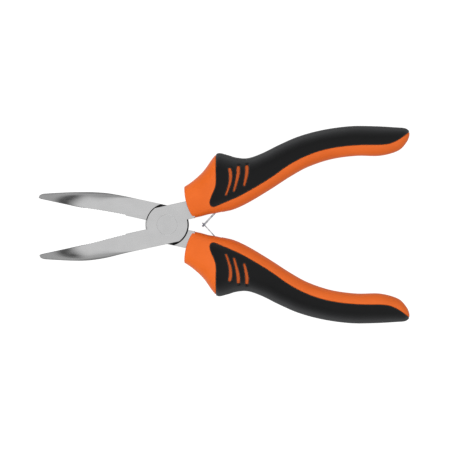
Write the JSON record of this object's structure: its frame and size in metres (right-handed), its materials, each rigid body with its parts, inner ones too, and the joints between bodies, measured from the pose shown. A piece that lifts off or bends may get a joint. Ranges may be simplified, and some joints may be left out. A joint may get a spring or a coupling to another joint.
{
  "type": "bent needle nose pliers",
  "caption": "Bent needle nose pliers with a flush lap joint, long toothed jaws, crossed return spring leaves and contoured two-colour grips.",
  "frame": {"origin": "on the pivot axis, at the rear face of the joint", "axes": "+Z along the pivot axis from the rear to the front of the joint; +X from the pivot towards the handles, midway between them; the jaws point towards -X and their tips bend towards -Z"},
  "size_m": [0.1537, 0.0818, 0.0176],
  "materials": {
    "ground_steel": "ground and satin polished",
    "rivet_steel": "ground flush",
    "spring_steel": "rolled strip",
    "orange_plastic": "fine moulded satin",
    "black_soft_grip": "fine matte texture"
  },
  "bodies": {
    "rear_half": {"rear_half_forging": "ground_steel", "pivot_rivet": "rivet_steel", "rear_grip_core": "orange_plastic", "rear_grip_cover": "black_soft_grip", "rear_spring_pin": "rivet_steel"},
    "front_half": {"front_half_forging": "ground_steel", "front_grip_core": "orange_plastic", "front_grip_cover": "black_soft_grip", "front_spring_pin": "rivet_steel"},
    "front_leaf": {"front_spring_leaf": "spring_steel"},
    "rear_leaf": {"rear_spring_leaf": "spring_steel"}
  },
  "joints": [
    {"name": "jaw_pivot", "type": "hinge", "parent": "rear_half", "child": "front_half", "pos_m": [0, 0, 0.0045], "axis": [0, 0, -1], "range_deg": [-5, 24.6], "stiffness_Nm_per_rad": 0.5},
    {"name": "front_leaf_bend", "type": "hinge", "parent": "front_half", "child": "front_leaf", "pos_m": [0.02088, 0.00609, 0.0045], "axis": [0, 0, -1], "range_deg": [-5.2, 24.8]},
    {"name": "rear_leaf_bend", "type": "hinge", "parent": "rear_half", "child": "rear_leaf", "pos_m": [0.02088, -0.00609, 0.0045], "axis": [0, 0, 1], "range_deg": [-5.2, 24.8]}
  ],
  "couplings": [
    {"joint": "front_leaf_bend", "follows": "jaw_pivot", "ratio": 1},
    {"joint": "rear_leaf_bend", "follows": "jaw_pivot", "ratio": 1}
  ]
}
